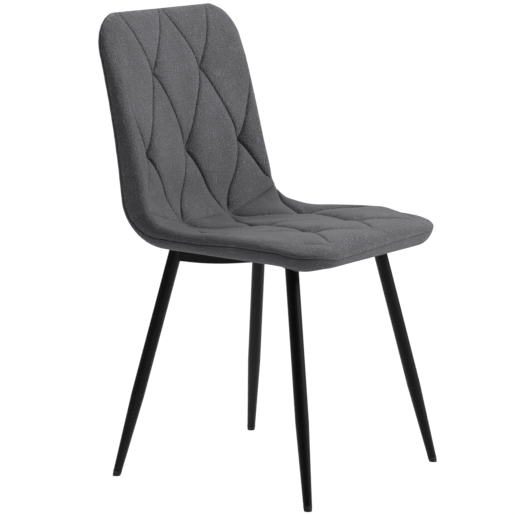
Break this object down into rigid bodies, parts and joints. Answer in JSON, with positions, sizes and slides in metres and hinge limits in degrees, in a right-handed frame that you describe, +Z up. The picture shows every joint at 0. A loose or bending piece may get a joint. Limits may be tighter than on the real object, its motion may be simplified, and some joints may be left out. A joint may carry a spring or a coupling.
{
  "type": "upholstered dining chair",
  "caption": "Armless dining chair: one bent upholstered seat and back with diamond quilting, on splayed tapered round steel legs joined by crossed rails.",
  "frame": {"origin": "on the floor, under the middle of the chair's outline", "axes": "+Z up; -Y towards the front of the seat; +X towards the sitter's left"},
  "size_m": [0.4512, 0.5271, 0.8607],
  "materials": {
    "quilted_fabric": "charcoal melange linen-look weave, diamond quilted",
    "plain_fabric": "charcoal melange linen-look weave, plain",
    "foam": "open-cell polyurethane foam",
    "wadding": "polyester wadding",
    "dust_cloth": "black non-woven cloth",
    "plywood": "bent birch plywood, unfinished",
    "black_steel": "matt black powder coat",
    "black_plastic": "moulded black polyethylene",
    "zinc_steel": "zinc plated",
    "staple_wire": "galvanised wire"
  },
  "bodies": {
    "root": {"back_cover": "quilted_fabric", "back_foam": "foam", "cross_rail_front_half": "black_steel", "cross_rail_long": "black_steel", "cross_rail_rear_half": "black_steel", "dust_cover": "dust_cloth", "dust_cover_staples": "staple_wire", "flat_washers": "zinc_steel", "foot_cap_front_left": "black_plastic", "foot_cap_front_right": "black_plastic", "foot_cap_rear_left": "black_plastic", "foot_cap_rear_right": "black_plastic", "frame_bolts": "zinc_steel", "leg_front_left": "black_steel", "leg_front_right": "black_steel", "leg_rear_left": "black_steel", "leg_rear_right": "black_steel", "rear_cover": "plain_fabric", "rear_wadding": "wadding", "seat_cover": "quilted_fabric", "seat_foam": "foam", "seat_spacer_front_left": "black_plastic", "seat_spacer_front_right": "black_plastic", "seat_spacer_rear_left": "black_plastic", "seat_spacer_rear_right": "black_plastic", "shell_core": "plywood", "spring_washers": "zinc_steel", "tee_nuts": "zinc_steel"}
  },
  "joints": []
}
